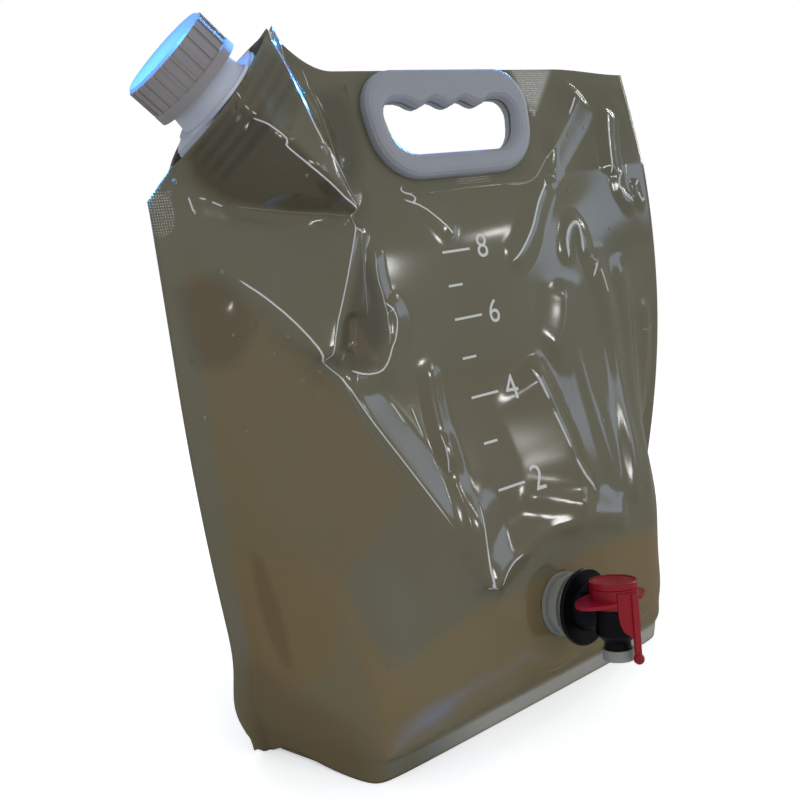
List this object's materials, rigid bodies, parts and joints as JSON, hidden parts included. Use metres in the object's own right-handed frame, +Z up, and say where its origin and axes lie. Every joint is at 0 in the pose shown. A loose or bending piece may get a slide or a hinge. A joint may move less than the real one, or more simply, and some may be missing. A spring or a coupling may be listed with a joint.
{
  "type": "collapsible water container",
  "caption": "Stand-up film pouch for camp water with a screw-capped spout in its cut corner, a moulded grip at the top and a press-button tap low on the front.",
  "frame": {"origin": "centre of the flat foot, on the floor it stands on", "axes": "+Z up from the floor, +X along the width with the spout at negative X, and the tap on the side towards negative Y"},
  "size_m": [0.352, 0.2084, 0.3839],
  "materials": {
    "film": "gloss",
    "grey_plastic": "satin",
    "clear_grey_plastic": "gloss",
    "black_plastic": "gloss",
    "red_plastic": "gloss",
    "seal": "matte"
  },
  "bodies": {
    "pouch": {"front_panel": "film", "back_panel": "film", "bottom_gusset": "film", "spout_neck": "grey_plastic", "handle_front": "grey_plastic", "handle_back": "grey_plastic", "tap_gland": "clear_grey_plastic"},
    "liner": {"cap_liner": "seal"},
    "cap": {"screw_cap": "grey_plastic"},
    "tap": {"tap_body": "black_plastic", "finger_collar": "red_plastic", "barrel_seal": "seal", "dome_spring": "seal"},
    "button": {"push_button": "red_plastic", "valve_stem": "black_plastic", "valve_plug": "seal"},
    "dust_cap": {"nozzle_cap": "clear_grey_plastic"},
    "tab": {"tamper_tab": "red_plastic"}
  },
  "joints": [
    {"name": "cap_lift", "type": "slide", "parent": "pouch", "child": "liner", "axis": [-0.6982, 0.1854, 0.6914], "range_m": [0, 0.00801]},
    {"name": "cap_turn", "type": "hinge", "parent": "liner", "child": "cap", "pos_m": [-0.1298, 0.05187, 0.3437], "axis": [-0.6982, 0.1854, 0.6914], "range_deg": [0, 720]},
    {"name": "tap_swivel", "type": "hinge", "parent": "pouch", "child": "tap", "pos_m": [0.00925, -0.06782, 0.06895], "axis": [0.1, -0.9511, 0.2924], "continuous": true},
    {"name": "button_press", "type": "slide", "parent": "tap", "child": "button", "axis": [-0.1254, -0.3035, -0.9445], "range_m": [0, 0.003], "stiffness_N_per_m": 600, "springref_m": -0.002, "deforming": ["dome_spring"]},
    {"name": "dust_cap_pull", "type": "slide", "parent": "tap", "child": "dust_cap", "axis": [-0.1254, -0.3035, -0.9445], "range_m": [0, 0.008]},
    {"name": "tab_pull", "type": "slide", "parent": "tap", "child": "tab", "axis": [0.1, -0.9511, 0.2924], "range_m": [0, 0.015]}
  ],
  "couplings": [
    {"joint": "cap_lift", "follows": "cap_turn", "m_per_rad": 0.00063662}
  ]
}
